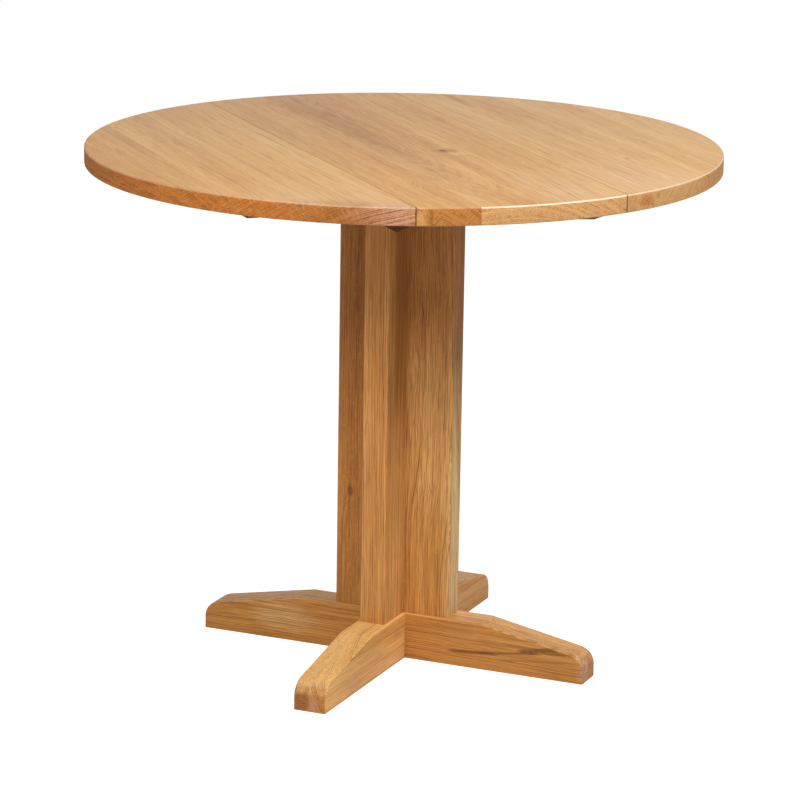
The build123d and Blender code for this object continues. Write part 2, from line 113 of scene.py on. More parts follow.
def node(tree, kind, inputs=(), **settings):
    """A new node with its settings, and its first inputs linked or set in order."""
    made = tree.nodes.new(kind)
    for name, value in settings.items():
        setattr(made, name, value)
    for socket, value in zip(made.inputs, inputs):
        put(tree, socket, value)
    return made


def calc(tree, operation, *values):
    """The result of an operation on numbers."""
    return node(tree, "ShaderNodeMath", values, operation=operation).outputs[0]


def vector(tree, operation, *values):
    """The result of an operation on vectors."""
    made = node(tree, "ShaderNodeVectorMath", values, operation=operation)
    return made.outputs["Value" if operation in ("LENGTH", "DOT_PRODUCT") else "Vector"]


def stretched(tree, place, scale):
    """The place, with each axis scaled."""
    return vector(tree, "MULTIPLY", place, scale)


def noise(tree, place, scale=1.0, detail=2.0, rough=0.5):
    """A noise read at a place."""
    made = node(tree, "ShaderNodeTexNoise", (place,))
    put(tree, made.inputs["Scale"], scale)
    put(tree, made.inputs["Detail"], detail)
    put(tree, made.inputs["Roughness"], rough)
    return made


def shaken(tree, place, scale, detail):
    """A noise's colours, as a shift about zero."""
    colours = noise(tree, place, scale, detail).outputs["Color"]
    return vector(tree, "SUBTRACT", colours, HALF_GREY)


def ease(tree, value, low, high, start=0.0, end=1.0):
    """A smooth step of a value from low to high."""
    inputs = (value, low, high, start, end)
    return node(tree, "ShaderNodeMapRange", inputs, interpolation_type="SMOOTHSTEP").outputs[0]


def blended(tree, amount, first, second):
    """Two colours mixed by an amount."""
    made = node(tree, "ShaderNodeMix", data_type="RGBA")
    put(tree, made.inputs[AMOUNT], amount)
    put(tree, made.inputs[FIRST], first)
    put(tree, made.inputs[SECOND], second)
    return made.outputs[RESULT]


def bumped(tree, shader, height, strength, distance, invert=False):
    """Bumps a shader's surface by a height."""
    bump = node(tree, "ShaderNodeBump", invert=invert)
    put(tree, bump.inputs["Height"], height)
    bump.inputs["Strength"].default_value = strength
    bump.inputs["Distance"].default_value = distance
    put(tree, shader.inputs["Normal"], bump.outputs[0])


def blank_material(name):
    """A new material, its node tree and its shader."""
    made = bpy.data.materials.new(name)
    made.use_nodes = True
    return made, made.node_tree, made.node_tree.nodes["Principled BSDF"]


def group_with(name, inputs, outputs):
    """An empty node group with its sockets."""
    tree = bpy.data.node_groups.new(name, "ShaderNodeTree")
    for label, kind in inputs:
        tree.interface.new_socket(name=label, in_out="INPUT", socket_type=kind)
    for label in outputs:
        tree.interface.new_socket(name=label, in_out="OUTPUT", socket_type="NodeSocketFloat")
    start = tree.nodes.new("NodeGroupInput")
    end = tree.nodes.new("NodeGroupOutput")
    return tree, start.outputs, end.inputs


# How the rings wander: a slow and a fine noise, each with its stretch along the grain
SLOW_SCALE = 7.0
SLOW_STRETCH = (1.0, 1.0, 0.22)
FINE_SCALE = 70.0
FINE_STRETCH = (1.0, 1.0, 0.30)
FINE_REACH = (0.0020, 0.0020, 0.0)

# Years: how their widths vary, and over which parts of a year the dark wood starts and fades
WIDTH_SCALE = 0.31
WIDTH_SPREAD = 3.0
YEAR_STARTS = (0.0, 0.12)
YEAR_FADES = (0.16, 0.60, 1.0, 0.0)

# Noise frequencies across and along the grain, per metre
BREAKS = (120.0, 120.0, 9.0)
DASHES = (780.0, 780.0, 14.0)
HAIRS = (1500.0, 1500.0, 30.0)
LINES = (520.0, 520.0, 4.6)
BANDS = (26.0, 26.0, 0.9)
CLOUDS = (9.0, 9.0, 3.2)
RAYS = (150.0, 60.0, 170.0)  # round the pith, out from it and along it

# The range of each noise that shows, and what its ends become where that is not 0 and 1
BREAK_SHOWS = (0.36, 0.60, 0.40, 1.0)
DASH_SHOWS = (0.49, 0.62)
HAIR_SHOWS = (0.48, 0.68)
RAY_SHOWS = (0.52, 0.70)
LINE_SHOWS = (0.48, 0.66)
STREAK_SHOWS = (0.34, 0.66)
PATCH_SHOWS = (0.46, 0.80)

# Weight of the pores in late wood, and what early wood adds
PORES_LATE = 0.55
PORES_EARLY = 0.45


def wandering(tree, place, wander):
    """The place, shifted a little across the grain so that no ring is a true circle."""
    drift = vector(tree, "SCALE", shaken(tree, stretched(tree, place, SLOW_STRETCH), SLOW_SCALE, 1.0))
    put(tree, drift.node.inputs["Scale"], wander)
    fine = shaken(tree, stretched(tree, place, FINE_STRETCH), FINE_SCALE, 1.0)
    quiver = stretched(tree, fine, FINE_REACH)
    return vector(tree, "ADD", vector(tree, "ADD", place, drift), quiver)


def early_wood(tree, moved, radius, ring):
    """The dark porous start of each year's ring, in broken lines, with wide and narrow years."""
    years = calc(tree, "DIVIDE", radius, ring)
    season = node(tree, "ShaderNodeTexNoise", noise_dimensions="1D")
    put(tree, season.inputs["W"], calc(tree, "MULTIPLY", years, WIDTH_SCALE))
    put(tree, season.inputs["Detail"], 0.0)
    years = calc(tree, "MULTIPLY_ADD", season.outputs[0], WIDTH_SPREAD, years)
    part = calc(tree, "FRACT", years)
    whole = calc(tree, "MULTIPLY", ease(tree, part, *YEAR_STARTS), ease(tree, part, *YEAR_FADES))
    breaks = noise(tree, stretched(tree, moved, BREAKS), detail=1.0)
    return calc(tree, "MULTIPLY", whole, ease(tree, breaks.outputs[0], *BREAK_SHOWS))


def pore_dashes(tree, moved, early):
    """Short open pores, most of them in the early wood."""
    coarse = noise(tree, stretched(tree, moved, DASHES), detail=1.0)
    dashes = ease(tree, coarse.outputs[0], *DASH_SHOWS)
    hair = noise(tree, stretched(tree, moved, HAIRS), detail=1.0)
    hairs = ease(tree, hair.outputs[0], *HAIR_SHOWS)
    weight = calc(tree, "MULTIPLY_ADD", early, PORES_EARLY, PORES_LATE)
    return calc(tree, "MULTIPLY", calc(tree, "MAXIMUM", dashes, hairs), weight)


def ray_flecks(tree, moved, radius):
    """Thin rays that run out from the pith."""
    axes = node(tree, "ShaderNodeSeparateXYZ", (moved,)).outputs
    turn = calc(tree, "ARCTAN2", axes["Y"], axes["X"])
    polar = node(tree, "ShaderNodeCombineXYZ", (turn, radius, axes["Z"])).outputs[0]
    spokes = noise(tree, stretched(tree, polar, RAYS), detail=1.0)
    return ease(tree, spokes.outputs[0], *RAY_SHOWS)


def oak_figure():
    """Growth rings round a pith on the Z axis, with pores and rays, as a log has them."""
    tree, given, result = group_with(
        "oak figure",
        (
            ("Place", "NodeSocketVector"),
            ("Ring", "NodeSocketFloat"),
            ("Wander", "NodeSocketFloat"),
            ("Swell", "NodeSocketFloat"),
        ),
        ("Early", "Pores", "Rays", "Lines", "Streaks", "Mottle"),
    )
    place = given["Place"]
    moved = wandering(tree, place, given["Wander"])
    flat = stretched(tree, moved, (1.0, 1.0, 0.0))
    radius = calc(tree, "ADD", vector(tree, "LENGTH", flat), given["Swell"])
    early = early_wood(tree, moved, radius, given["Ring"])
    lines = noise(tree, stretched(tree, moved, LINES), rough=0.6)
    bands = noise(tree, stretched(tree, moved, BANDS), detail=3.0, rough=0.62)
    clouds = noise(tree, stretched(tree, place, CLOUDS))
    put(tree, result["Early"], early)
    put(tree, result["Pores"], pore_dashes(tree, moved, early))
    put(tree, result["Rays"], ray_flecks(tree, moved, radius))
    put(tree, result["Lines"], ease(tree, lines.outputs[0], *LINE_SHOWS))
    put(tree, result["Streaks"], bands.outputs[0])
    put(tree, result["Mottle"], clouds.outputs[0])
    return tree


FIGURE = oak_figure()

# Oak colours: the lighter and the warmer wood of a board, as they alternate across it
PALE = (srgb(227, 182, 121), srgb(215, 165, 104))
HONEY = (srgb(221, 172, 108), srgb(207, 155, 91))
OATEN = (srgb(222, 173, 109), srgb(207, 155, 92))
GOLD = (srgb(234, 171, 98), srgb(216, 150, 80))
WHEAT = (srgb(244, 190, 118), srgb(228, 168, 94))
TAN = (srgb(216, 154, 82), srgb(198, 134, 64))
BROWN = (srgb(170, 110, 56), srgb(148, 92, 44))
# DARK is painted shade on the rails, the plate and the cleats, which lie in the top's shade; it also colours
# the dark line of the hinge joints
DARK = (srgb(104, 56, 22), srgb(84, 42, 15))
BEECH = (srgb(208, 160, 112), srgb(194, 142, 94))

# Colours of the figure, of the painted highlight on upper edges (pale on the pedestal, near white on the
# rim), of end grain, and of marks, some in the wood and some painted light and shade
EARLY_OAK = srgb(136, 78, 32)
PORE_OAK = srgb(100, 56, 24)
RAY_OAK = srgb(226, 178, 112)
HIGHLIGHT_OAK = srgb(249, 200, 128)
GLINT_OAK = srgb(251, 236, 212)
END_OAK = srgb(194, 124, 56)
# The rims' colours are partly the wood's and partly painted light: the more orange rims of the left boards
# stand for less sheen, the paler ones of the right boards hold a painted reflection
ORANGE_END = srgb(208, 116, 40)
PALE_END = srgb(226, 174, 116)
TAN_END = srgb(216, 160, 98)
MARK_TONES = {
    "heart": srgb(152, 100, 52),
    "amber": srgb(176, 106, 46),
    "sap": srgb(222, 180, 120),
    "pink": srgb(202, 138, 90),
    "beige": srgb(208, 160, 132),
    "orange": srgb(206, 124, 52),
    "straw": srgb(240, 200, 136),
    # painted sheen near the front of the top, and the painted highlight on the toes' rounds
    "cream": srgb(230, 192, 148),
    "knot": srgb(80, 44, 20),
    "eye": srgb(176, 106, 46),
    "streak": srgb(98, 56, 28),
}

# Marks: how ragged their edges are, and where they fade, from their middle at 0 to their edge at 1
RAGGED_SCALE = 1.6
RAGGED_REACH = (0.5, 0.5, 0.5)
MARK_FADES = (0.25, 1.0, 1.0, 0.0)
BULGES = {"knot": 0.012, "eye": 0.012}  # how far the rings bulge round these marks, in metres
BULGE_SIZE = 3  # a bulge's size against its mark's

# How far up the normals of the painted highlight reach: upper edges only, or, on the feet, all that faces
# up, as painted light
ARRIS = (0.70, 0.93)
SLOPE = (1.1, 1.2)
HIGHLIGHT_FROM = (0.15, 0.45)

# The dark line of a hinge joint: how it fades across, in metres, and from the rim to the upper face
SEAM_FADES = (0.0004, 0.0013, 1.0, 0.0)
SEAM_TONE = (0.3, 0.9, 0.70, 0.08)

# End grain, by how far a normal faces along the board, or up on the top
BOARD_ENDS = (0.38, 0.85)
RIM_ENDS = (0.45, 0.85, 1.0, 0.0)
END_TONE = 0.80
PATCH_TONE = 0.35

# Satin lacquer: roughness, what pores add to it, the early wood's depth against the pores', bump and coat
LACQUER_ROUGH = 0.42
PORE_ROUGH = 0.14
EARLY_DEPTH = 0.35
PORE_BUMP = (0.20, 0.0004)
COAT_SHARE = 0.2
COAT_ROUGH = 0.18


def spot(tree, place, centre, halves):
    """A ragged, soft-edged ellipsoid, 1 in its middle and 0 outside."""
    offset = vector(tree, "DIVIDE", vector(tree, "SUBTRACT", place, centre), halves)
    stir = stretched(tree, shaken(tree, offset, RAGGED_SCALE, 2.0), RAGGED_REACH)
    away = vector(tree, "LENGTH", vector(tree, "ADD", offset, stir))
    return ease(tree, away, *MARK_FADES)


def marked(tree, place, body, marks):
    """A board's colour with its marks, and how far its rings bulge round each knot."""
    swell = 0.0
    for kind, centre, halves, strength in marks:
        mask = spot(tree, place, centre, halves)
        body = blended(tree, calc(tree, "MULTIPLY", mask, strength), body, MARK_TONES[kind])
        if kind in BULGES:
            around = spot(tree, place, centre, [BULGE_SIZE * half for half in halves])
            swell = calc(tree, "MULTIPLY_ADD", around, BULGES[kind], swell)
    return body, swell


def highlighted(tree, up, body, strength, reach, tone):
    """Painted highlight: a paler tone on the eased upper edges, and painted light on the upward slopes of
    the feet.
    """
    band = calc(tree, "MULTIPLY", ease(tree, up, *HIGHLIGHT_FROM), ease(tree, up, *reach, 1.0, 0.0))
    return blended(tree, calc(tree, "MULTIPLY", band, strength), body, tone)


def seam_line(tree, place, up):
    """The dark line along both hinge joints of the top, fainter on its upper face than on its rim."""
    across = node(tree, "ShaderNodeSeparateXYZ", (place,)).outputs["X"]
    away = calc(tree, "ABSOLUTE", calc(tree, "SUBTRACT", calc(tree, "ABSOLUTE", across), SEAM))
    return calc(tree, "MULTIPLY", ease(tree, away, *SEAM_FADES), ease(tree, up, *SEAM_TONE))


def lacquer(tree, shader, drawn, gloss):
    """Satin lacquer that sinks a little into the pores."""
    rough = calc(tree, "MULTIPLY_ADD", drawn["Pores"], PORE_ROUGH, LACQUER_ROUGH)
    put(tree, shader.inputs["Roughness"], rough)
    low = calc(tree, "MULTIPLY_ADD", drawn["Early"], EARLY_DEPTH, drawn["Pores"])
    bumped(tree, shader, low, *PORE_BUMP, invert=True)
    shader.inputs["Specular IOR Level"].default_value = gloss
    shader.inputs["Coat Weight"].default_value = COAT_SHARE * gloss
    shader.inputs["Coat Roughness"].default_value = COAT_ROUGH


def figure_of(tree, place, pith, grain, ring, wander):
    """The figure of a log whose pith runs through a point along a direction."""
    log = node(tree, "ShaderNodeMapping", (place,), vector_type="TEXTURE")
    log.inputs["Location"].default_value = pith
    log.inputs["Rotation"].default_value = grain
    drawing = node(tree, "ShaderNodeGroup", node_tree=FIGURE)
    put(tree, drawing.inputs["Place"], log.outputs[0])
    put(tree, drawing.inputs["Ring"], ring)
    put(tree, drawing.inputs["Wander"], wander)
    return drawing


def end_grain(tree, normal, up, grain, rim):
    """1 on end grain and 0 on long grain; on a board of the top, the whole rim is end grain."""
    if rim:
        return ease(tree, calc(tree, "ABSOLUTE", up), *RIM_ENDS)
    forward = Euler(grain).to_matrix() @ Vector((0.0, 0.0, 1.0))
    facing = vector(tree, "DOT_PRODUCT", normal, forward)
    return ease(tree, calc(tree, "ABSOLUTE", facing), *BOARD_ENDS)


def figured(tree, drawn, ends, body, layers):
    """A colour under the layers of the figure, each with its strength on long grain and on end grain."""
    for layer, on_long, on_end, colour in layers:
        strength = calc(tree, "MULTIPLY_ADD", ends, on_end - on_long, on_long)
        body = blended(tree, calc(tree, "MULTIPLY", drawn[layer], strength), body, colour)
    return body


def oak(
    name,
    wood,
    pith,
    grain,
    ring=0.0035,
    wander=0.016,
    figure=1.0,
    lines=1.0,
    cloud=0.8,
    end=END_OAK,
    rings=0.95,
    rim=False,
    highlight=0.4,
    reach=ARRIS,
    gloss=0.18,
    marks=(),
):
    """Lacquered oak cut from a log whose pith runs through a point along a direction."""
    made, tree, shader = blank_material(name)
    coords = node(tree, "ShaderNodeTexCoord").outputs
    place = coords["Object"]
    up = node(tree, "ShaderNodeSeparateXYZ", (coords["Normal"],)).outputs["Z"]
    drawing = figure_of(tree, place, pith, grain, ring, wander)
    drawn = drawing.outputs
    body = blended(tree, ease(tree, drawn["Streaks"], *STREAK_SHOWS), *wood)
    patches = calc(tree, "MULTIPLY", ease(tree, drawn["Mottle"], *PATCH_SHOWS), PATCH_TONE * cloud)
    body = blended(tree, patches, body, BROWN[0])
    ends = end_grain(tree, coords["Normal"], up, grain, rim)
    body = blended(tree, calc(tree, "MULTIPLY", ends, END_TONE), body, end)
    body, swell = marked(tree, place, body, marks)
    put(tree, drawing.inputs["Swell"], swell)
    # Each layer of the figure: its strength on long grain and on end grain, and its colour
    layers = (
        ("Early", 0.42 * figure, rings, EARLY_OAK),
        ("Lines", 0.34 * figure * lines, 0.26, EARLY_OAK),
        ("Rays", 0.07 * figure, 0.22, RAY_OAK),
        ("Pores", 0.38 * figure, 0.42, PORE_OAK),
    )
    # The painted highlight along the upper edges: near white over the figure on the rim, pale under the
    # figure elsewhere
    if rim:
        body = figured(tree, drawn, ends, body, layers)
        body = highlighted(tree, up, body, highlight, reach, GLINT_OAK)
        body = blended(tree, seam_line(tree, place, up), body, DARK[1])
    else:
        body = highlighted(tree, up, body, highlight, reach, HIGHLIGHT_OAK)
        body = figured(tree, drawn, ends, body, layers)
    put(tree, shader.inputs["Base Color"], body)
    lacquer(tree, shader, drawn, gloss)
    return made


# Rows of marks on the feet: how much a streak's marks overlap, and where the painted highlight on a toe's
# round is and how strong
STREAK_OVERLAP = 1.2
NOSE_OUT = 0.294
NOSE_UP = 0.038
NOSE_HALVES = (0.010, 0.010, 0.005)
NOSE_HIGHLIGHT = 0.75


def along(turn, tip=0.0):
    """The turn of a log that lies level, with its grain at an angle from Y, and tipped a little."""
    return (math.radians(-90 + tip), 0.0, math.radians(turn))


def on_arm(turn, out, side, height):
    """A point on the pedestal: out along an arm, to its right seen from the end, and up."""
    angle = math.radians(turn)
    ahead = Vector((-math.sin(angle), math.cos(angle), 0.0))
    right = Vector((-ahead.y, ahead.x, 0.0))
    return tuple(out * ahead + side * right + Vector((0.0, 0.0, height)))


def streak(turn, side, start, stop, half, strength, count):
    """A dark streak in a foot, from one point out and up on it to another, as a row of marks."""
    row = []
    reach = STREAK_OVERLAP * (stop[0] - start[0]) / (count - 1)
    for step in range(count):
        share = step / (count - 1)
        out = start[0] + share * (stop[0] - start[0])
        height = start[1] + share * (stop[1] - start[1])
        row.append(("streak", on_arm(turn, out, side, height), (reach, reach, half), strength))
    return row


def toe_highlight(turn, *sides):
    """A painted highlight on the round of a toe, as a row of pale marks across it."""
    return [("cream", on_arm(turn, NOSE_OUT, side, NOSE_UP), NOSE_HALVES, NOSE_HIGHLIGHT) for side in sides]


# Turns of the pedestal's arms from Y in degrees, and of upright grain
FRONT, RIGHT, LEFT, BACK = 135, -135, 45, -45
UPRIGHT = (0.0, 0.0, 0.0)

# Heights of marks on the top, in metres
EDGE = 0.7375  # middle height of the rim
ABOVE = 0.756  # marks from here stay off the rim

# Each board of the top: its cut from the log, the strength of its painted highlight along the arris, and its
# marks; the pale marks off the rim near the front are painted sheen
TOP_BOARDS = {
    "left_leaf_outer_board": dict(
        wood=OATEN,
        pith=(-0.52, 1.0, 0.60),
        grain=along(0.4),
        end=ORANGE_END,
        highlight=0.15,
        marks=(
            ("amber", (-0.39, 0.05, TOP), (0.09, 0.45, 0.03), 0.16),
            # painted sheen near the front of the top
            ("cream", (-0.30, -0.36, ABOVE), (0.16, 0.28, 0.012), 0.55),
        ),
    ),
    "left_leaf_inner_board": dict(
        wood=OATEN,
        pith=(-0.08, 3.0, 0.52),
        grain=along(-0.6, 0.3),
        end=ORANGE_END,
        highlight=0.2,
        marks=(
            ("sap", (-0.176, -0.05, TOP), (0.018, 0.60, 0.03), 0.50),
            # painted sheen near the front of the top
            ("cream", (-0.26, -0.40, ABOVE), (0.16, 0.30, 0.012), 0.55),
            ("beige", (-0.166, -0.418, EDGE), (0.036, 0.030, 0.040), 0.50),
            ("beige", (-0.180, -0.412, EDGE), (0.080, 0.060, 0.040), 0.60),
            ("heart", (-0.262, -0.366, EDGE), (0.060, 0.060, 0.040), 0.30),
            ("heart", (-0.226, -0.389, EDGE), (0.052, 0.052, 0.040), 0.36),
        ),
    ),
    "centre_left_board": dict(
        wood=HONEY,
        pith=(-0.248, 5.0, 0.626),
        grain=along(0.3, 0.8),
        ring=0.0040,
        highlight=0.1,
        marks=(
            ("amber", (-0.085, 0.20, TOP), (0.060, 0.50, 0.03), 0.20),
            ("eye", (-0.104, -0.345, TOP), (0.022, 0.040, 0.020), 0.12),
            ("straw", (-0.144, -0.426, EDGE), (0.010, 0.02, 0.03), 0.35),
            ("knot", (-0.131, -0.43, EDGE), (0.004, 0.02, 0.012), 0.45),
        ),
    ),
    "centre_right_board": dict(
        wood=HONEY,
        pith=(-0.025, 7.0, 0.637),
        grain=along(0.0, 0.9),
        end=PALE_END,
        rings=0.55,
        highlight=0.85,
        marks=(
            ("heart", (-0.030, 0.22, TOP), (0.054, 0.38, 0.03), 0.44),
            ("amber", (0.020, 0.26, TOP), (0.130, 0.30, 0.03), 0.24),
            ("heart", (-0.036, -0.10, TOP), (0.050, 0.30, 0.03), 0.26),
            ("amber", (0.022, 0.00, TOP), (0.030, 0.22, 0.03), 0.22),
            ("heart", (0.040, -0.058, TOP), (0.024, 0.020, 0.02), 0.55),
            ("straw", (0.050, -0.085, TOP), (0.026, 0.018, 0.02), 0.35),
            # painted sheen near the front of the top
            ("cream", (0.10, -0.42, ABOVE), (0.11, 0.36, 0.012), 0.60),
            ("knot", (0.036, -0.056, TOP), (0.008, 0.010, 0.02), 0.75),
        ),
    ),
    "right_leaf_inner_board": dict(
        wood=PALE,
        pith=(0.40, 9.0, 0.56),
        grain=along(0.6, 0.4),
        end=PALE_END,
        rings=0.55,
        highlight=0.45,
        marks=(
            ("heart", (0.218, 0.325, TOP), (0.010, 0.085, 0.03), 0.45),
            ("amber", (0.250, 0.21, TOP), (0.040, 0.14, 0.03), 0.20),
            ("knot", (0.262, -0.184, TOP), (0.004, 0.010, 0.02), 0.45),
            ("pink", (0.285, -0.16, TOP), (0.022, 0.06, 0.03), 0.40),
            # painted sheen near the front of the top
            ("cream", (0.22, -0.38, ABOVE), (0.14, 0.34, 0.012), 0.60),
            ("orange", (0.185, -0.41, EDGE), (0.020, 0.03, 0.012), 0.7),
            ("heart", (0.158, -0.42, EDGE), (0.016, 0.02, 0.030), 0.30),
        ),
    ),
    "right_leaf_outer_board": dict(
        wood=PALE,
        pith=(0.22, 11.0, 0.60),
        grain=along(-0.8),
        end=TAN_END,
        rings=0.6,
    ),
}

# Each piece of the pedestal
PEDESTAL = {
    "side_foot_front_ply": dict(
        wood=TAN,
        pith=on_arm(LEFT, 1.0, -0.13, -0.12),
        grain=along(LEFT, 0.5),
        lines=1.6,
        highlight=0.34,
        reach=SLOPE,
        marks=(
            ("straw", on_arm(LEFT, 0.17, 0.024, 0.034), (0.07, 0.07, 0.030), 0.5),
            *streak(RIGHT, -0.024, (0.105, 0.0220), (0.155, 0.0258), 0.0036, 0.70, 4),
            *streak(RIGHT, -0.024, (0.150, 0.0256), (0.225, 0.0355), 0.0020, 0.65, 6),
            *streak(RIGHT, -0.024, (0.215, 0.0365), (0.250, 0.0440), 0.0050, 0.75, 3),
            *streak(RIGHT, -0.024, (0.250, 0.0375), (0.288, 0.0430), 0.0018, 0.60, 4),
            *streak(RIGHT, -0.024, (0.185, 0.0195), (0.275, 0.0285), 0.0016, 0.40, 6),
            *streak(RIGHT, -0.020, (0.214, 0.0545), (0.226, 0.0520), 0.0016, 0.60, 3),
            ("heart", on_arm(RIGHT, 0.270, -0.024, 0.018), (0.050, 0.050, 0.030), 0.16),
            ("beige", on_arm(RIGHT, 0.300, -0.012, 0.020), (0.020, 0.020, 0.034), 0.90),
            *toe_highlight(RIGHT, -0.018, -0.006),
        ),
    ),
    "side_foot_back_ply": dict(
        wood=GOLD,
        pith=on_arm(LEFT, 3.0, 0.16, -0.13),
        grain=along(LEFT, -0.4),
        highlight=0.30,
        reach=SLOPE,
        marks=toe_highlight(RIGHT, 0.006, 0.018),
    ),
    "front_foot_right_ply": dict(
        wood=WHEAT,
        pith=on_arm(FRONT, 5.0, -0.12, -0.035),
        grain=along(FRONT, 0.4),
        figure=0.9,
        lines=0.7,
        highlight=0.40,
        reach=SLOPE,
        marks=(
            # painted shade: darker on the right side of the front foot, and a little on its top
            ("amber", on_arm(FRONT, 0.17, 0.024, 0.024), (0.16, 0.16, 0.040), 0.16),
            ("beige", on_arm(FRONT, 0.300, 0.006, 0.010), (0.014, 0.014, 0.022), 0.50),
            *toe_highlight(FRONT, 0.006, 0.018),
            ("pink", on_arm(BACK, 0.20, 0.0, 0.03), (0.15, 0.15, 0.10), 0.30),
        ),
    ),
    "front_foot_left_ply": dict(
        wood=WHEAT,
        pith=on_arm(FRONT, 7.0, 0.12, -0.035),
        grain=along(FRONT, -0.4),
        figure=0.9,
        lines=0.7,
        highlight=0.52,
        reach=SLOPE,
        marks=(
            ("heart", on_arm(FRONT, 0.300, -0.014, 0.020), (0.020, 0.020, 0.036), 0.80),
            *toe_highlight(FRONT, -0.018, -0.006),
            ("pink", on_arm(BACK, 0.20, 0.0, 0.03), (0.15, 0.15, 0.10), 0.30),
        ),
    ),
    "column_through_board": dict(
        wood=TAN,
        pith=on_arm(RIGHT, 0.26, -0.16, 0.30),
        grain=(math.radians(0.8), math.radians(-0.6), 0.0),
        ring=0.0032,
        wander=0.010,
        figure=1.35,
        marks=(
            ("amber", on_arm(LEFT, 0.055, 0.0, 0.45), (0.075, 0.075, 0.70), 0.50),
            ("knot", on_arm(LEFT, 0.068, 0.019, 0.24), (0.006, 0.006, 0.012), 0.7),
            ("pink", on_arm(RIGHT, 0.060, -0.019, 0.56), (0.100, 0.100, 0.24), 0.20),
            ("straw", on_arm(RIGHT, 0.070, -0.019, 0.34), (0.100, 0.100, 0.20), 0.28),
            ("eye", on_arm(RIGHT, 0.068, -0.019, 0.40), (0.018, 0.018, 0.100), 0.10),
            # painted light: paler towards the bottom of the right arm's end face
            ("straw", on_arm(RIGHT, 0.092, 0.0, 0.16), (0.030, 0.030, 0.36), 1.0),
        ),
    ),
    "column_back_board": dict(wood=TAN, pith=on_arm(BACK, 0.20, 0.04, 4.0), grain=UPRIGHT),
    "column_front_board": dict(
        wood=GOLD,
        pith=on_arm(FRONT, 0.25, 0.13, 6.0),
        grain=UPRIGHT,
        ring=0.0036,
        wander=0.010,
        figure=1.2,
        marks=(
            # painted shade: darker towards the top of this side face, under the table top
            ("heart", on_arm(FRONT, 0.045, 0.019, 0.58), (0.040, 0.040, 0.32), 0.60),
            ("straw", on_arm(FRONT, 0.045, 0.019, 0.18), (0.045, 0.045, 0.22), 0.18),
        ),
    ),
}

# Each oak piece under the top, in dark oak as painted shade from the top above it, and what all boards of
# the top share
RAIL = dict(wood=DARK, grain=along(0), end=DARK[0], highlight=0.0, gloss=0.04)
UNDER_PIECES = {
    "top_plate": dict(wood=DARK, pith=(0.02, 13.0, 0.60), grain=along(0), gloss=0.04),
    "right_rail": dict(RAIL, pith=(0.15, 15.0, 0.62)),
    "left_rail": dict(RAIL, pith=(-0.10, 17.0, 0.62)),
}
TOP_LOOK = dict(figure=0.46, lines=1.6, cloud=0.4, rim=True, gloss=0.12)
SIDES = ("left", "right")
ENDS = ("front", "back")

# Logs of the supports: how far off the first one's pith is, and each next one's from there
FIRST_LOG = 20.0
NEXT_LOG = 3.0

# Eased edges of the top in metres, and the steps of their rounds
RIM_ABOVE = 0.003
RIM_ABOVE_STEPS = 5
RIM_BELOW = 0.002
RIM_BELOW_STEPS = 4
SEAM_EASE = 0.0010
SEAM_STEPS = 3
SEAM_SLACK = 0.002  # a board that ends this near a hinge joint has that edge eased
ROUND_SHARE = 0.95  # share of the lower round that counts as the rim
RIM_SIDES = 360
SLIVER = 1e-5
SMOOTH = math.radians(25)


def unselect(mesh):
    """Unselects all of a mesh."""
    for parts in (mesh.polygons, mesh.edges, mesh.vertices):
        for part in parts:
            part.select = False


def pick_edges(shape, wanted):
    """Selects the edges of the shape in edit mode whose two ends pass a test."""
    bpy.ops.object.mode_set(mode="OBJECT")
    mesh = shape.data
    unselect(mesh)
    for edge in mesh.edges:
        edge.select = all(wanted(mesh.vertices[end].co) for end in edge.vertices)
    bpy.ops.object.mode_set(mode="EDIT")
    bpy.ops.mesh.select_mode(type="EDGE")


def pick_faces_at(shape, height):
    """Selects the faces of the shape in edit mode that lie level at a height."""
    bpy.ops.object.mode_set(mode="OBJECT")
    mesh = shape.data
    unselect(mesh)
    for face in mesh.polygons:
        face.select = all(abs(mesh.vertices[corner].co.z - height) < SLIVER for corner in face.vertices)
    bpy.ops.object.mode_set(mode="EDIT")
    bpy.ops.mesh.select_mode(type="FACE")


def ease_edges(shape, wanted, width, steps):
    """Rounds the edges that pass a test."""
    pick_edges(shape, wanted)
    bpy.ops.mesh.bevel(offset=width, segments=steps, profile=0.5, affect="EDGES")


def saw(x, keep_above):
    """Saws the whole shape along a plane across X and keeps one side of it."""
    bpy.ops.mesh.select_all(action="SELECT")
    bpy.ops.mesh.bisect(
        plane_co=(x, 0.0, 0.0),
        plane_no=(1.0, 0.0, 0.0),
        use_fill=True,
        clear_inner=keep_above,
        clear_outer=not keep_above,
    )


def whole_top(bottom, radius):
    """The round top as one piece with eased edges, left in edit mode."""
    bpy.ops.object.select_all(action="DESELECT")
    bpy.ops.mesh.primitive_cylinder_add(
        vertices=RIM_SIDES,
        radius=radius,
        depth=TOP - bottom,
        location=(0.0, 0.0, (TOP + bottom) / 2),
    )
    shape = bpy.context.object
    bpy.ops.object.transform_apply(location=True, rotation=False, scale=False)
    ease_edges(shape, lambda co: co.z > TOP - SLIVER, RIM_ABOVE, RIM_ABOVE_STEPS)
    ease_edges(shape, lambda co: co.z < bottom + SLIVER, RIM_BELOW, RIM_BELOW_STEPS)
    return shape


def ease_joint(shape, seam, radius):
    """Softens a board's edges at a hinge joint, on its upper face and round its rim."""
    rim = radius - ROUND_SHARE * RIM_BELOW
    ease_edges(
        shape,
        lambda co: abs(co.x - seam) < SLIVER and (co.z > TOP - SLIVER or math.hypot(co.x, co.y) > rim),
        SEAM_EASE,
        SEAM_STEPS,
    )


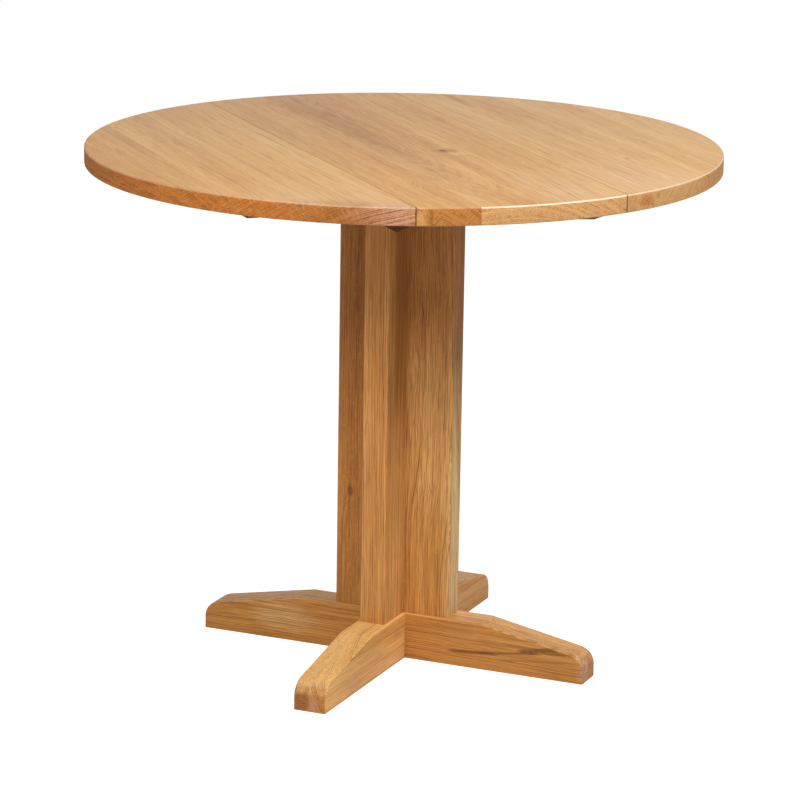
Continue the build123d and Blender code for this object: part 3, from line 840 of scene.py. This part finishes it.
def top_board(node_name, finish):
    """A board of the round top with a smooth eased rim and softened joint edges, for its CAD board."""
    low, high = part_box(node_name)
    radius = cad_box[1].x
    shape = whole_top(low.z, radius)
    shape.name = "finished_" + node_name
    if low.x > -radius + SLIVER:
        saw(low.x, True)
    if high.x < radius - SLIVER:
        saw(high.x, False)
    for seam in (low.x, high.x):
        if abs(abs(seam) - SEAM) < SEAM_SLACK:
            ease_joint(shape, seam, radius)
    bpy.ops.object.mode_set(mode="OBJECT")
    bpy.ops.object.shade_smooth_by_angle(angle=SMOOTH)
    shape.data.materials.append(finish)
    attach(shape, frame["nodes"][node_name]["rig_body"])
    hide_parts(node_name)


def coat(node_name, finish):
    """Gives a CAD piece its finish."""
    frame["nodes"][node_name].material_slots[0].material = finish


def finish_oak():
    """New boards for the top, and oak on the pedestal and under the top."""
    for name, cut in TOP_BOARDS.items():
        top_board(name, oak(name + " oak", **TOP_LOOK, **cut))
    for pieces in (PEDESTAL, UNDER_PIECES):
        for name, cut in pieces.items():
            coat(name, oak(name + " oak", **cut))


def finish_supports():
    """Sliding supports in plain oak, cleats in the same dark oak as the rails as painted shade under the
    top, and beech stop pegs.
    """
    for index, (side, end) in enumerate((side, end) for side in SIDES for end in ENDS):
        piece = f"{side}_{end}_"
        away = FIRST_LOG + NEXT_LOG * index
        bar = oak(piece + "loper oak", BROWN, (away, 0.1, 0.64), along(90))
        block = oak(piece + "cleat oak", DARK, (away, -0.1, 0.66), along(90), end=DARK[0], highlight=0.0)
        pin = oak(piece + "peg beech", BEECH, (0.02, 0.3, away), UPRIGHT, ring=0.002, figure=0.4, highlight=0.0)
        coat(piece + "loper", bar)
        coat(piece + "cleat", block)
        coat(piece + "stop_peg", pin)


# Metals: the bright and the dulled tone, the frequencies of the brush lines per metre, the least roughness
BRASS = ((srgb(206, 166, 92), srgb(142, 104, 52)), (700.0, 40.0, 700.0), 0.24)
ZINC = ((srgb(196, 197, 194), srgb(138, 137, 130)), (900.0, 900.0, 120.0), 0.20)
DULL_SCALE = 110.0
DULL_SHOWS = (0.44, 0.74)
BRUSH_SHOWS = (0.45, 0.75, 0.0, 0.4)
BRUSH_ROUGH = 0.24
BRUSH_BUMP = (0.15, 0.0002)


def metal(name, tones, lay, rough):
    """Brushed metal that has dulled in patches; the lay stretches its brush lines."""
    made, tree, shader = blank_material(name)
    place = node(tree, "ShaderNodeTexCoord").outputs["Object"]
    brush = noise(tree, stretched(tree, place, lay), detail=3.0, rough=0.6).outputs[0]
    dulled = ease(tree, noise(tree, place, DULL_SCALE, 3.0, 0.6).outputs[0], *DULL_SHOWS)
    colour = blended(tree, dulled, *tones)
    colour = blended(tree, ease(tree, brush, *BRUSH_SHOWS), colour, tones[1])
    put(tree, shader.inputs["Base Color"], colour)
    shader.inputs["Metallic"].default_value = 1.0
    put(tree, shader.inputs["Roughness"], calc(tree, "MULTIPLY_ADD", brush, BRUSH_ROUGH, rough))
    bumped(tree, shader, brush, *BRUSH_BUMP)
    return made


# Screws by CAD node: diameters of head and shank
HINGE_SCREW = (0.0066, 0.0035)
WOOD_SCREW = (0.0090, 0.0045)
SCREWS = {
    "centre_hinge_screws": HINGE_SCREW,
    "left_leaf_hinge_screws": HINGE_SCREW,
    "right_leaf_hinge_screws": HINGE_SCREW,
    "rail_screws": WOOD_SCREW,
    "plate_screws": WOOD_SCREW,
    "left_cleat_screws": WOOD_SCREW,
    "right_cleat_screws": WOOD_SCREW,
}
SCREW_SIDES = 24
SCREW_POINT = 0.005  # length of the tapered tip
SCREW_TAPER = (0.12, 0.12, 1.0)  # the tip's end against the shank
SCREW_APART = 0.010  # screws stand further apart than this
DRIVEN_TURN = 37.0  # degrees from one screw's recess to the next one's

# The cross recess: a blade's length, width and depth as shares of the head, and its narrowing deeper in
RECESS_LENGTH = 0.62
RECESS_WIDTH = 0.16
RECESS_DEPTH = 0.32
RECESS_TAPER = (0.35, 0.60, 1.0)


def recess_cutter(head, turn):
    """One blade of the cross that a driver fits in a screw's head, narrower deeper in."""
    deep = RECESS_DEPTH * head
    bpy.ops.object.select_all(action="DESELECT")
    bpy.ops.mesh.primitive_cube_add(size=1.0, scale=(RECESS_LENGTH * head, RECESS_WIDTH * head, 2 * deep))
    blade = bpy.context.object
    bpy.ops.object.transform_apply(location=False, rotation=False, scale=True)
    pick_faces_at(blade, deep)
    bpy.ops.transform.resize(value=RECESS_TAPER, center_override=(0.0, 0.0, deep))
    bpy.ops.object.mode_set(mode="OBJECT")
    blade.rotation_euler.z = math.radians(turn)
    bpy.ops.object.transform_apply(location=False, rotation=True, scale=False)
    return blade


def cut_away(shape, cutters):
    """Cuts each cutter out of the shape and removes the cutters."""
    for cutter in cutters:
        cut = shape.modifiers.new("recess", "BOOLEAN")
        cut.operation = "DIFFERENCE"
        cut.solver = "EXACT"
        cut.object = cutter
        bpy.ops.object.modifier_apply(modifier=cut.name)
        bpy.data.objects.remove(cutter)


def screw_model(head, shank, length):
    """One countersunk screw that points up, with its head level with Z = 0 and a cross recess in it."""
    cutters = [recess_cutter(head, turn) for turn in (0.0, 90.0)]
    neck = (head - shank) / 2
    bpy.ops.object.select_all(action="DESELECT")
    bpy.ops.mesh.primitive_cone_add(
        vertices=SCREW_SIDES,
        radius1=head / 2,
        radius2=shank / 2,
        depth=neck,
        location=(0.0, 0.0, neck / 2),
    )
    screw = bpy.context.object
    bpy.ops.object.transform_apply(location=True, rotation=False, scale=False)
    pick_faces_at(screw, neck)
    straight = length - neck - SCREW_POINT
    bpy.ops.mesh.extrude_region_move(TRANSFORM_OT_translate={"value": (0.0, 0.0, straight)})
    bpy.ops.mesh.extrude_region_move(TRANSFORM_OT_translate={"value": (0.0, 0.0, SCREW_POINT)})
    bpy.ops.transform.resize(value=SCREW_TAPER, center_override=(0.0, 0.0, length))
    bpy.ops.object.mode_set(mode="OBJECT")
    cut_away(screw, cutters)
    return screw


def screw_places(node_name):
    """The middle of each screw's head, read from the CAD screws."""
    groups = []
    for corner in frame["nodes"][node_name].data.vertices:
        for group in groups:
            if (corner.co.xy - group[0].xy).length < SCREW_APART:
                group.append(corner.co)
                break
        else:
            groups.append([corner.co])
    places = []
    for group in groups:
        low = [min(point[axis] for point in group) for axis in range(3)]
        high = [max(point[axis] for point in group) for axis in range(3)]
        places.append(((low[0] + high[0]) / 2, (low[1] + high[1]) / 2, low[2]))
    return places


def driven_screws(node_name, head, shank, finish):
    """Copies of one screw with a cross recess, where the CAD screws are, each driven to its own turn."""
    low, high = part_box(node_name)
    first = screw_model(head, shank, high.z - low.z)
    bpy.ops.object.select_all(action="DESELECT")
    for index, place in enumerate(screw_places(node_name)):
        copy = first.copy()
        copy.data = first.data.copy()
        copy.location = place
        copy.rotation_euler.z = math.radians(DRIVEN_TURN * index)
        bpy.context.scene.collection.objects.link(copy)
        copy.select_set(True)
        bpy.context.view_layer.objects.active = copy
    bpy.data.objects.remove(first)
    bpy.ops.object.transform_apply(location=True, rotation=True, scale=False)
    bpy.ops.object.join()
    screws = bpy.context.object
    bpy.ops.object.transform_apply(location=True, rotation=True, scale=True)
    bpy.ops.object.shade_smooth_by_angle(angle=SMOOTH)
    screws.name = "driven_" + node_name
    screws.data.materials.append(finish)
    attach(screws, frame["nodes"][node_name]["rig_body"])
    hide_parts(node_name)


def finish_metal():
    """Aged brass hinges and inserts, and zinc-plated screws, bolts and washers."""
    brass = metal("aged brass", *BRASS)
    zinc = metal("zinc plate", *ZINC)
    hinges = [f"{side}_hinge_{part}" for side in SIDES for part in ("fixed_flaps", "leaf_flaps", "pins")]
    fittings = [f"{place}_{part}" for place in ("foot", "plate") for part in ("bolts", "washers")]
    for name in hinges + ["foot_inserts", "plate_inserts"]:
        coat(name, brass)
    for name in fittings:
        coat(name, zinc)
    for name, (head, shank) in SCREWS.items():
        driven_screws(name, head, shank, zinc)


finish_oak()
finish_supports()
finish_metal()


# Lamps: azimuth and elevation in degrees as the camera's, distance, size, power in watts
LAMPS = (
    ("key", -40.0, 36.0, 4.0, 1.2, 82.0),
    ("front", -15.0, 45.0, 4.0, 1.2, 12.0),
    ("fill", 42.0, 45.5, 4.0, 1.2, 84.0),
    ("low", -46.0, 14.0, 4.0, 1.4, 9.0),
    ("over", 20.0, 80.0, 3.2, 2.0, 9.0),
)
AMBIENT = 0.10  # strength of the white surroundings as a light
WHITE = (1.0, 1.0, 1.0, 1.0)
FLOOR_SIZE = 40.0
FLOOR_GREY = (0.80, 0.80, 0.80, 1.0)  # the floor as a reflector of light
SHADE_GREY = (0.42, 0.42, 0.42, 1.0)  # the floor to the camera, where a glow is added to it
FLOOR_GLOW = 0.93


def outward(turn, rise):
    """The direction at an azimuth and an elevation, in radians."""
    level = math.cos(rise)
    return Vector((math.sin(turn) * level, -math.cos(turn) * level, math.sin(rise)))


def lamp(name, turn, rise, reach, size, power):
    """A soft square lamp aimed at the middle of the table."""
    light = bpy.data.lights.new(name, "AREA")
    light.energy = power
    light.size = size
    holder = bpy.data.objects.new(name, light)
    bpy.context.scene.collection.objects.link(holder)
    away = outward(math.radians(turn), math.radians(rise))
    holder.location = AIM + reach * away
    holder.rotation_euler = away.to_track_quat("Z", "Y").to_euler()


def white_world():
    """Surroundings that look white and give a faint light."""
    world = bpy.data.worlds.new("studio")
    bpy.context.scene.world = world
    world.use_nodes = True
    tree = world.node_tree
    path = tree.nodes.new("ShaderNodeLightPath").outputs
    seen = calc(tree, "MAXIMUM", path["Is Camera Ray"], path["Is Glossy Ray"])
    seen = calc(tree, "MAXIMUM", seen, path["Is Transmission Ray"])
    strength = node(tree, "ShaderNodeMapRange", (seen, 0.0, 1.0, AMBIENT, 1.0)).outputs[0]
    back = tree.nodes["Background"]
    back.inputs["Color"].default_value = WHITE
    put(tree, back.inputs["Strength"], strength)


def floor_paint():
    """White to the camera wherever the light falls, a pale grey in the table's shadow."""
    made, tree, shader = blank_material("floor")
    tree.nodes.remove(shader)
    seen = tree.nodes.new("ShaderNodeLightPath").outputs["Is Camera Ray"]
    diffuse = node(tree, "ShaderNodeBsdfDiffuse", (SHADE_GREY,))
    glow = node(tree, "ShaderNodeEmission", (WHITE, FLOOR_GLOW))
    both = node(tree, "ShaderNodeAddShader", (diffuse.outputs[0], glow.outputs[0]))
    plain = node(tree, "ShaderNodeBsdfDiffuse", (FLOOR_GREY,))
    choose = node(tree, "ShaderNodeMixShader", (seen, plain.outputs[0], both.outputs[0]))
    put(tree, tree.nodes["Material Output"].inputs["Surface"], choose.outputs[0])
    return made


def studio():
    """White surroundings, lamps at the front left, the front right and above, and a floor for the shadow."""
    white_world()
    for placed in LAMPS:
        lamp(*placed)
    bpy.ops.object.select_all(action="DESELECT")
    bpy.ops.mesh.primitive_plane_add(size=FLOOR_SIZE)
    floor = bpy.context.object
    floor.name = "floor"
    floor.data.materials.append(floor_paint())
    bpy.context.scene.view_settings.view_transform = "Standard"


def photograph_camera():
    """A camera at the photograph's viewing angle, with its slight roll."""
    lens = bpy.data.cameras.new("camera")
    lens.lens = LENS
    lens.sensor_width = SENSOR
    lens.clip_end = FAR
    holder = bpy.data.objects.new("camera", lens)
    bpy.context.scene.collection.objects.link(holder)
    away = outward(AZIMUTH, ELEVATION)
    right = Vector((0.0, 0.0, 1.0)).cross(away).normalized()
    up = away.cross(right)
    tilted = math.cos(ROLL) * right + math.sin(ROLL) * up
    upright = away.cross(tilted)
    turn = Matrix((tilted, upright, away)).transposed().to_4x4()
    holder.matrix_world = Matrix.Translation(AIM + DISTANCE * away) @ turn
    bpy.context.scene.camera = holder


studio()
photograph_camera()
